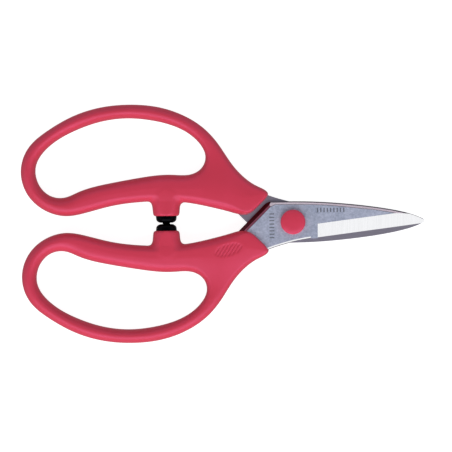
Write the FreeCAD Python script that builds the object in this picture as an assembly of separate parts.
"""Floral snips: two bow-handled halves that cross at a pivot, modelled closed.

Each half is a plastic handle moulded round the tang of a stainless blade, with a rubber stop
pressed into a boss on the handle. The halves are the same, turned half a turn about the long
axis, so only the upper half is drawn, and the lower half is a turned copy of it. The one thing
that differs is the hole in the blade: the rear blade is keyed to the bolt, and the front blade
turns on it.

Frame: millimetres, +X towards the blade tips, +Y towards the upper handle, +Z up. The origin is
on the pivot axis, in the plane that the snips rest on when they lie flat. Pieces are drawn in
the pivot frame, whose z = 0 is the plane between the blades, and save() lifts each one.
"""
import FreeCAD, Part
import math
import os
from FreeCAD import Vector

# Handle
HANDLE_HALF = 6.0          # half the thickness, and the height of the plane between the blades
EDGE_ROUND = 1.8           # rounding of the long outer edges
LOOP_ROUND = 2.5           # rounding of the edges of the finger loop
NECK_TIP_R = 2.0           # corner of the neck beside the blade, on the outside
NECK_HEEL_R = 6.0          # corner of the neck between the two handles

# Boss and rubber stop, on an axis square to the line where the handles meet
STOP_X = -54.7
BOSS_END_Y = 3.2
BOSS_SHOULDER_Y = 8.4
BOSS_ROOT_Y = 14.0
BOSS_END_R = 5.6
BOSS_ROOT_R = 5.95
BOSS_ROUND = 0.8
STOP_R = 4.5
STOP_SIDE_R = 4.42
STOP_FACE_R = 2.4
STOP_SIDE_Y = 2.3
STOP_FACE_Y = 0.3
STOP_SHOULDER_BULGE = 0.42 # of the rounded shoulder, outwards and forwards of its chord
NUB_R = 1.6
STOP_GAP = 0.06            # from the stop's nub to the line where the handles meet
STEM_R = 2.5
STEM_DEPTH = 8.0
STEM_CLEARANCE = 0.02
STEM_END_GAP = 0.3

# Blade
BLADE_T = 2.6
BLADE_GAP = 0.03           # from each inner face to the plane between the blades
HEEL_CORNER_R = 4.5
HEEL_FACET_W = 2.0         # the steep facet ground along the heel edge
HEEL_FACET_DEPTH = 1.5
CHAMFER_SLOPE = 1 / 3      # of the shallow chamfer inside it, which goes on along the spine
HEEL_CHAMFER_W = 2.5       # from the heel edge to where the chamfer meets the outer face
CORNER_CHAMFER_W = 2.55    # the same from the corner of heel and spine
SPINE_CHAMFER_W = 1.3      # and from the spine
RICASSO_CHAMFER_W = 0.85
RICASSO_CHAMFER_DEPTH = 0.35
BEVEL_W = 5.85             # width of the ground bevel beside the cutting edge
BEVEL_START_X = 10.7
EDGE_T = 0.2               # thickness left at the cutting edge
TANG_HOLE_R = 2.0          # holes in the tang, which the handle's plastic fills

# Pivot
BOLT_R = 2.5
BORE_CLEARANCE = 0.05
KEY_CLEARANCE = 0.02
KEY_HALF = 1.9             # half the distance across the bolt's two flats
HEAD_R = 4.1
HEAD_T = 1.6
SLOT_W = 1.0
SLOT_DEPTH = 0.6
TURN_GAP = 0.03            # between the front blade and what it turns under
WASHER_T = 0.5
DISC_T = 0.3
DISC_RISE = 0.25
DISC_RIM_INSET = 0.1       # how far the disc spring's rim is inside the washer's
NUT_ACROSS_FLATS = 7.0
NUT_T = 1.3
NUT_CHAMFER = 0.35
CAP_R = 5.35
CAP_BORE_R = 4.15
CAP_ROOF_GAP = 0.1
CAP_FLAT_R = 3.0
CAP_SHOULDER_DROP = 0.7    # how far the crown falls from the flat to the rim
CAP_RIM_ROUND = 0.5

X_AXIS, Y_AXIS, Z_AXIS = Vector(1, 0, 0), Vector(0, 1, 0), Vector(0, 0, 1)
ORIGIN = Vector(0, 0, 0)
OUTER_Z = -BLADE_GAP - BLADE_T       # outer face of the rear blade
INNER_Z = -BLADE_GAP                 # inner face of the rear blade
WEDGE_OVERRUN = 40.0                 # how far a grinding wedge runs on past what it cuts
BEYOND = 200.0                       # longer than the whole tool, for cutting shapes
NEAR = 0.01                          # how close a point on an edge is to the height it belongs to

# Heights in the stack over the front blade
WASHER_Z = -OUTER_Z + TURN_GAP
DISC_Z = WASHER_Z + WASHER_T
NUT_Z = DISC_Z + DISC_RISE + DISC_T
STACK_TOP = NUT_Z + NUT_T


def spline(pairs, start=None, end=None, closed=False):
    """A smooth edge through the points, with the start and end directions if they are given."""
    curve = Part.BSplineCurve()
    through = [Vector(x, y, 0) for x, y in pairs]
    if closed:
        curve.interpolate(Points=through, PeriodicFlag=True)
    elif start is None:
        curve.interpolate(Points=through)
    else:
        curve.interpolate(Points=through, InitialTangent=start, FinalTangent=end, Scale=False)
    return curve.toShape()


def line(a, b):
    return Part.LineSegment(a, b).toShape()


def round_corner(before, corner, after, radius):
    """The tangent arc that rounds a corner: (start, end, edge)."""
    back = (before - corner).normalize()
    on = (after - corner).normalize()
    half = back.getAngle(on) / 2
    middle = (back + on).normalize()
    start = corner + back * (radius / math.tan(half))
    end = corner + on * (radius / math.tan(half))
    crown = corner + middle * (radius / math.sin(half) - radius)
    return start, end, Part.Arc(start, crown, end).toShape()


def prism(edges, bottom, top):
    """A solid with the outline of the edges, from z = bottom to z = top."""
    face = Part.Face(Part.Wire(edges))
    face.translate(Vector(0, 0, bottom))
    return face.extrude(Vector(0, 0, top - bottom))


def cylinder(radius, bottom, top, x=0.0, y=0.0):
    return Part.makeCylinder(radius, top - bottom, Vector(x, y, bottom), Z_AXIS)


def turned(profile):
    """A solid of revolution about Z from a closed profile of straight runs, as (radius, z)."""
    corners = [Vector(r, 0, z) for r, z in profile]
    edges = [line(a, b) for a, b in zip(corners, corners[1:] + corners[:1])]
    return Part.Face(Part.Wire(edges)).revolve(ORIGIN, Z_AXIS, 360)


def edges_where(shape, test):
    """The shape's edges whose whole length passes the test."""
    chosen = []
    for edge in shape.Edges:
        samples = edge.discretize(5)
        if all(test(point) for point in samples):
            chosen.append(edge)
    return chosen


def on_rim(point, radius, z):
    """True for a point of the circle with the radius about Z at the height z."""
    return abs(point.z - z) < NEAR and abs(math.hypot(point.x, point.y) - radius) < NEAR


def half_turn(shape):
    """The same piece on the other half: turned 180 degrees about the long axis."""
    copy = shape.copy()
    copy.rotate(ORIGIN, X_AXIS, 180)
    return copy


# ---------------------------------------------------------------- handle

# Corners of the neck's end face, which the blade comes out of, before they are rounded
NECK_TIP = Vector(-9.3, 12.6, 0)
NECK_HEEL = Vector(-19.3, 2.6, 0)
OUTER_START = Vector(-13.0, 14.55, 0)      # on the outside edge, beside the neck's tip corner
INNER_END = Vector(-25.0, 4.0, 0)          # on the inside edge, beside the neck's heel corner

# The handle's outer edge, from the neck round the loop and back along the inside
OUTER_EDGE = [
    (-15.5, 15.9), (-20.5, 19.35), (-26.0, 25.35), (-31.5, 33.65), (-38.0, 41.0), (-46.0, 46.3),
    (-57.0, 50.25), (-70.0, 51.6), (-83.0, 50.45), (-95.0, 46.7), (-106.0, 40.5), (-114.2, 33.2),
    (-117.5, 22.5), (-113.8, 11.75), (-105.5, 5.3), (-98.0, 3.6), (-90.0, 4.8), (-78.0, 7.8),
    (-66.0, 9.3), (-54.7, 9.6), (-45.0, 8.75), (-34.0, 6.45),
]

# The edge of the finger loop, anticlockwise from its end nearest the pivot
LOOP_EDGE = [
    (-37.5, 28.7), (-40.2, 34.7), (-49.0, 41.2), (-60.0, 44.5), (-71.0, 45.6), (-82.0, 44.4),
    (-94.0, 40.4), (-105.0, 33.8), (-110.9, 25.0), (-109.0, 16.3), (-104.3, 12.3), (-98.6, 11.7),
    (-93.0, 13.85), (-80.0, 17.45), (-66.0, 19.9), (-52.0, 21.05), (-43.0, 21.4), (-38.8, 24.4),
]


def handle_outline():
    """The handle's outer edge, closed round the two corners of its neck."""
    tip_start, tip_end, tip_arc = round_corner(NECK_HEEL, NECK_TIP, OUTER_START, NECK_TIP_R)
    heel_start, heel_end, heel_arc = round_corner(INNER_END, NECK_HEEL, NECK_TIP, NECK_HEEL_R)
    ends = [(tip_end.x, tip_end.y)], [(heel_start.x, heel_start.y)]
    start = (OUTER_START - NECK_TIP).normalize()
    end = (NECK_HEEL - INNER_END).normalize()
    outside = spline(ends[0] + OUTER_EDGE + ends[1], start, end)
    return [outside, heel_arc, line(heel_end, tip_start), tip_arc]


def boss():
    """The tapered boss that carries the rubber stop, on the inside edge of the handle."""
    profile = [
        (0, BOSS_END_Y), (BOSS_END_R, BOSS_END_Y), (BOSS_ROOT_R, BOSS_SHOULDER_Y),
        (BOSS_ROOT_R, BOSS_ROOT_Y), (0, BOSS_ROOT_Y),
    ]
    shape = turned(profile)
    rim = edges_where(shape, lambda p: on_rim(p, BOSS_END_R, BOSS_END_Y))
    return onto_stop_axis(shape.makeFillet(BOSS_ROUND, rim))


def onto_stop_axis(shape):
    """Turns a piece drawn about Z so that its z runs along the stop's axis, +Y."""
    shape.rotate(ORIGIN, X_AXIS, -90)
    shape.translate(Vector(STOP_X, 0, 0))
    return shape


def stop():
    """The rubber stop: a rounded head with a small nub that meets the other stop, on a stem."""
    corners = [
        (0, STOP_GAP), (NUB_R, STOP_GAP), (NUB_R, STOP_FACE_Y), (STOP_FACE_R, STOP_FACE_Y),
        (STOP_SIDE_R, STOP_SIDE_Y), (STOP_R, BOSS_END_Y), (STEM_R, BOSS_END_Y),
        (STEM_R, BOSS_END_Y + STEM_DEPTH), (0, BOSS_END_Y + STEM_DEPTH),
    ]
    points = [Vector(r, 0, y) for r, y in corners]
    edges = [line(a, b) for a, b in zip(points, points[1:] + points[:1])]
    bulge = Vector(STOP_SHOULDER_BULGE, 0, -STOP_SHOULDER_BULGE)
    shoulder = (points[3] + points[4]) * 0.5 + bulge
    edges[3] = Part.Arc(points[3], shoulder, points[4]).toShape()
    return onto_stop_axis(Part.Face(Part.Wire(edges)).revolve(ORIGIN, Z_AXIS, 360))


def handle(blade):
    """The handle, moulded round the blade's tang and bored for the stop's stem."""
    body = prism(handle_outline(), -HANDLE_HALF, HANDLE_HALF)
    body = body.makeFillet(EDGE_ROUND, edges_where(body, on_flat_face))
    hole = prism([spline(LOOP_EDGE, closed=True)], -HANDLE_HALF, HANDLE_HALF)
    body = body.cut(hole)
    rim = [e for e in edges_where(body, on_flat_face) if ends_like(e.BoundBox, hole.BoundBox)]
    body = body.makeFillet(LOOP_ROUND, rim)
    stem_hole = Part.makeCylinder(
        STEM_R + STEM_CLEARANCE, STEM_DEPTH + STEM_END_GAP, Vector(STOP_X, BOSS_END_Y, 0), Y_AXIS)
    return body.fuse(boss()).cut(stem_hole).cut(blade)


def on_flat_face(point):
    return abs(abs(point.z) - HANDLE_HALF) < NEAR


def ends_like(box, other):
    """True when two boxes reach about as far as each other both ways along X."""
    reach = LOOP_ROUND / 2
    return abs(box.XMin - other.XMin) < reach and abs(box.XMax - other.XMax) < reach


# ---------------------------------------------------------------- blade

# The heel edge runs at 45 degrees, HEEL_REACH behind the pivot on the long axis
HEEL_REACH = 19.8
SPINE_Y = -8.95
HEEL_CORNER = Vector(-HEEL_REACH - SPINE_Y, SPINE_Y, 0)
HEEL_IN_X = -30.0                      # where the heel edge turns into the tang
HEEL_FACET_START_X = -27.0             # inside the handle
SPINE = [
    (0.0, -8.95), (10.0, -8.7), (20.0, -8.0), (30.0, -6.95), (40.0, -5.5), (48.0, -3.85),
    (55.8, -1.15),
]
SPINE_END_DIRECTION = Vector(0.9, 0.44, 0)
TIP = Vector(56.8, 0.0, 0)
EDGE_START = Vector(BEVEL_START_X, 6.75, 0)
EDGE_END = Vector(55.6, 1.15, 0)
CHOIL_Y = 7.2
CHOIL_START_X = 7.7
RICASSO_MIDDLE = Vector(-2.0, 9.1, 0)
NECK_EXIT = Vector(-10.6, 11.75, 0)        # where the ricasso's edge runs into the neck
RICASSO_CHAMFER_END_X = -13.0              # inside the handle
SPINE_SIDE_Y = -3.0                        # only the spine's edges lie wholly beyond this

# The tang, from the ricasso round to the heel edge, all of it inside the handle
TANG = [
    Vector(-14.5, 13.2, 0), Vector(-21.0, 16.6, 0), Vector(-28.5, 20.2, 0), Vector(-45.0, 17.6, 0),
    Vector(-45.0, 12.8, 0), Vector(-30.0, 10.2, 0),
]
TANG_HOLES = [(-25.5, 11.5), (-35.5, 15.0)]


def blade_outline():
    """The blade's edge, from the heel along the spine to the tip and back to the tang."""
    heel_in = Vector(HEEL_IN_X, -HEEL_IN_X - HEEL_REACH, 0)
    heel_start, spine_start, heel_arc = round_corner(
        heel_in, HEEL_CORNER, Vector(0, SPINE_Y, 0), HEEL_CORNER_R)
    spine_pairs = [(spine_start.x, spine_start.y)] + SPINE
    spine_end = Vector(SPINE[-1][0], SPINE[-1][1], 0)
    edges = [line(heel_in, heel_start), heel_arc, spline(spine_pairs, X_AXIS, SPINE_END_DIRECTION)]
    edges.append(Part.Arc(spine_end, TIP, EDGE_END).toShape())
    choil_start = Vector(CHOIL_START_X, CHOIL_Y, 0)
    choil_end = Vector(BEVEL_START_X, CHOIL_Y, 0)
    edges.append(line(EDGE_END, EDGE_START))
    edges.append(line(EDGE_START, choil_end))
    edges.append(line(choil_end, choil_start))
    edges.append(Part.Arc(choil_start, RICASSO_MIDDLE, NECK_EXIT).toShape())
    path = [NECK_EXIT] + TANG[:-1] + [heel_in]
    edges += [line(a, b) for a, b in zip(path, path[1:])]
    return edges


def wedge(a, b, width, depth):
    """What grinding a flat along the line a to b takes off the outer face.

    The flat is `depth` below the outer face at the line, and meets it `width` to the line's left.
    """
    along = (b - a).normalize()
    left = Z_AXIS.cross(along)
    start = a - along * WEDGE_OVERRUN
    end = b + along * WEDGE_OVERRUN
    low = Vector(0, 0, OUTER_Z - WEDGE_OVERRUN)
    rise = Vector(0, 0, OUTER_Z + depth * (1 + WEDGE_OVERRUN / width))
    corners = [
        start + left * width + Vector(0, 0, OUTER_Z),
        start - left * WEDGE_OVERRUN + rise,
        start - left * WEDGE_OVERRUN + low,
        start + left * width + low,
    ]
    edges = [line(p, q) for p, q in zip(corners, corners[1:] + corners[:1])]
    return Part.Face(Part.Wire(edges)).extrude(end - start)


def blade(bore):
    """The rear blade with the given hole at the pivot. Its outer face is down."""
    shape = prism(blade_outline(), OUTER_Z, INNER_Z)
    bevel = wedge(EDGE_END, EDGE_START, BEVEL_W, BLADE_T - EDGE_T)
    shape = shape.cut(bevel.common(slab_in_x(BEVEL_START_X, BEYOND)))
    heel_facet, heel_chamfer, corner_chamfer = heel_grinding()
    shape = shape.cut(heel_facet)
    shape = shape.makeChamfer(
        SPINE_CHAMFER_W, SPINE_CHAMFER_W * CHAMFER_SLOPE, edges_where(shape, beside_spine))
    shape = shape.cut(heel_chamfer).cut(corner_chamfer).cut(ricasso_chamfer())
    for x, y in TANG_HOLES:
        shape = shape.cut(cylinder(TANG_HOLE_R, OUTER_Z - 1, INNER_Z + 1, x, y))
    return shape.cut(bore)


def heel_grinding():
    """The steep facet along the heel edge, and the chamfer inside it and round the corner."""
    heel_line = Vector(-BEYOND, BEYOND - HEEL_REACH, 0), HEEL_CORNER
    facet = wedge(*heel_line, HEEL_FACET_W, HEEL_FACET_DEPTH)
    chamfer = wedge(*heel_line, HEEL_CHAMFER_W, HEEL_CHAMFER_W * CHAMFER_SLOPE)
    heel_direction = (heel_line[1] - heel_line[0]).normalize()
    corner_line = HEEL_CORNER, HEEL_CORNER + heel_direction + X_AXIS
    corner = wedge(*corner_line, CORNER_CHAMFER_W, CORNER_CHAMFER_W * CHAMFER_SLOPE)
    outside_handle = slab_in_x(HEEL_FACET_START_X, 0)
    return [tool.common(outside_handle) for tool in (facet, chamfer, corner)]


def beside_spine(point):
    """True on the outer face along the spine and the heel corner."""
    return on_outer_face(point) and point.y < SPINE_SIDE_Y


def ricasso_chamfer():
    """What grinding the chamfer along the ricasso takes off: a cone round the ricasso's arc."""
    arc = Part.Circle(Vector(CHOIL_START_X, CHOIL_Y, 0), RICASSO_MIDDLE, NECK_EXIT)
    foot = Vector(arc.Center.x, arc.Center.y, OUTER_Z - RICASSO_CHAMFER_DEPTH)
    cone = Part.makeCone(
        arc.Radius + 2 * RICASSO_CHAMFER_W, arc.Radius - RICASSO_CHAMFER_W,
        3 * RICASSO_CHAMFER_DEPTH, foot)
    return cone.common(slab_in_x(RICASSO_CHAMFER_END_X, CHOIL_START_X))


def on_outer_face(point):
    return abs(point.z - OUTER_Z) < NEAR


def slab_in_x(x_from, x_to):
    return Part.makeBox(x_to - x_from, BEYOND, BEYOND, Vector(x_from, -BEYOND / 2, -BEYOND / 2))


# ---------------------------------------------------------------- pivot

def keyed_shaft(radius, half_width, bottom, top):
    """A round shaft with two flats, which a double-D hole holds from turning."""
    flats = Part.makeBox(
        2 * half_width, 4 * radius, top - bottom, Vector(-half_width, -2 * radius, bottom))
    return cylinder(radius, bottom, top).common(flats)


def bolt():
    """The pivot bolt: a slotted head under the rear blade, flats in it, and a round shank."""
    head = cylinder(HEAD_R, OUTER_Z - HEAD_T, OUTER_Z)
    slot = Part.makeBox(
        BEYOND, SLOT_W, SLOT_DEPTH, Vector(-BEYOND / 2, -SLOT_W / 2, OUTER_Z - HEAD_T))
    key = keyed_shaft(BOLT_R, KEY_HALF, OUTER_Z, INNER_Z)
    shank = cylinder(BOLT_R, INNER_Z, STACK_TOP)
    return head.cut(slot).fuse(key).fuse(shank)


def washer():
    return cylinder(HEAD_R, WASHER_Z, DISC_Z).cut(bolt_hole())


def disc_spring():
    """The coned spring washer, flatter than when free because the nut presses on it."""
    inner = BOLT_R + BORE_CLEARANCE
    rim = HEAD_R - DISC_RIM_INSET
    return turned([
        (rim, DISC_Z), (rim, DISC_Z + DISC_T), (inner, NUT_Z), (inner, NUT_Z - DISC_T),
    ])


def nut():
    """A thin hexagon nut with its corners chamfered, drawn with a plain bore for its thread."""
    corner = NUT_ACROSS_FLATS / math.sqrt(3)
    ring = [Vector(corner * math.cos(a), corner * math.sin(a), NUT_Z) for a in sixths()]
    hexagon = Part.Face(Part.Wire([line(a, b) for a, b in zip(ring, ring[1:] + ring[:1])]))
    body = hexagon.extrude(Vector(0, 0, NUT_T))
    flat_r = corner - NUT_CHAMFER * 2
    crown = turned([
        (0, NUT_Z), (corner, NUT_Z), (corner, STACK_TOP - NUT_CHAMFER), (flat_r, STACK_TOP),
        (0, STACK_TOP),
    ])
    return body.common(crown).cut(cylinder(BOLT_R, NUT_Z, STACK_TOP))


def sixths():
    return [math.radians(60 * i) for i in range(6)]


def bolt_hole():
    return cylinder(BOLT_R + BORE_CLEARANCE, -HANDLE_HALF, HANDLE_HALF)


def cap(base_z, content_top):
    """A crowned cover, open below, over what lies between base_z and content_top."""
    top = HANDLE_HALF
    rim_z = top - CAP_SHOULDER_DROP
    ceiling = content_top + CAP_ROOF_GAP
    shell = turned([
        (CAP_BORE_R, base_z), (CAP_R, base_z), (CAP_R, rim_z), (CAP_FLAT_R, top), (0, top),
        (0, ceiling), (CAP_BORE_R, ceiling),
    ])
    shoulder = edges_where(shell, lambda p: on_rim(p, CAP_R, rim_z))
    return shell.makeFillet(CAP_RIM_ROUND, shoulder)


def save(name, shape):
    """Lifts a piece from the pivot frame onto the rest plane and writes it."""
    assert shape.isValid() and len(shape.Solids) == 1, name
    placed = shape.Solids[0].copy()
    placed.translate(Vector(0, 0, HANDLE_HALF))
    placed.exportStep("parts/%s.step" % name)


def main():
    os.makedirs("parts", exist_ok=True)
    keyed_hole = keyed_shaft(
        BOLT_R + KEY_CLEARANCE, KEY_HALF + KEY_CLEARANCE, OUTER_Z - 1, INNER_Z + 1)
    rear_blade = blade(keyed_hole)
    front_blade = half_turn(blade(bolt_hole()))
    upper_handle = handle(blade(keyed_hole))
    upper_stop = stop()
    save("rear_blade", rear_blade)
    save("front_blade", front_blade)
    save("upper_handle", upper_handle)
    save("lower_handle", half_turn(upper_handle))
    save("upper_stop", upper_stop)
    save("lower_stop", half_turn(upper_stop))
    save("pivot_bolt", bolt())
    save("flat_washer", washer())
    save("disc_spring", disc_spring())
    save("pivot_nut", nut())
    save("front_cap", cap(WASHER_Z, STACK_TOP))
    save("rear_cap", half_turn(cap(-OUTER_Z, HEAD_T - OUTER_Z)))


main()
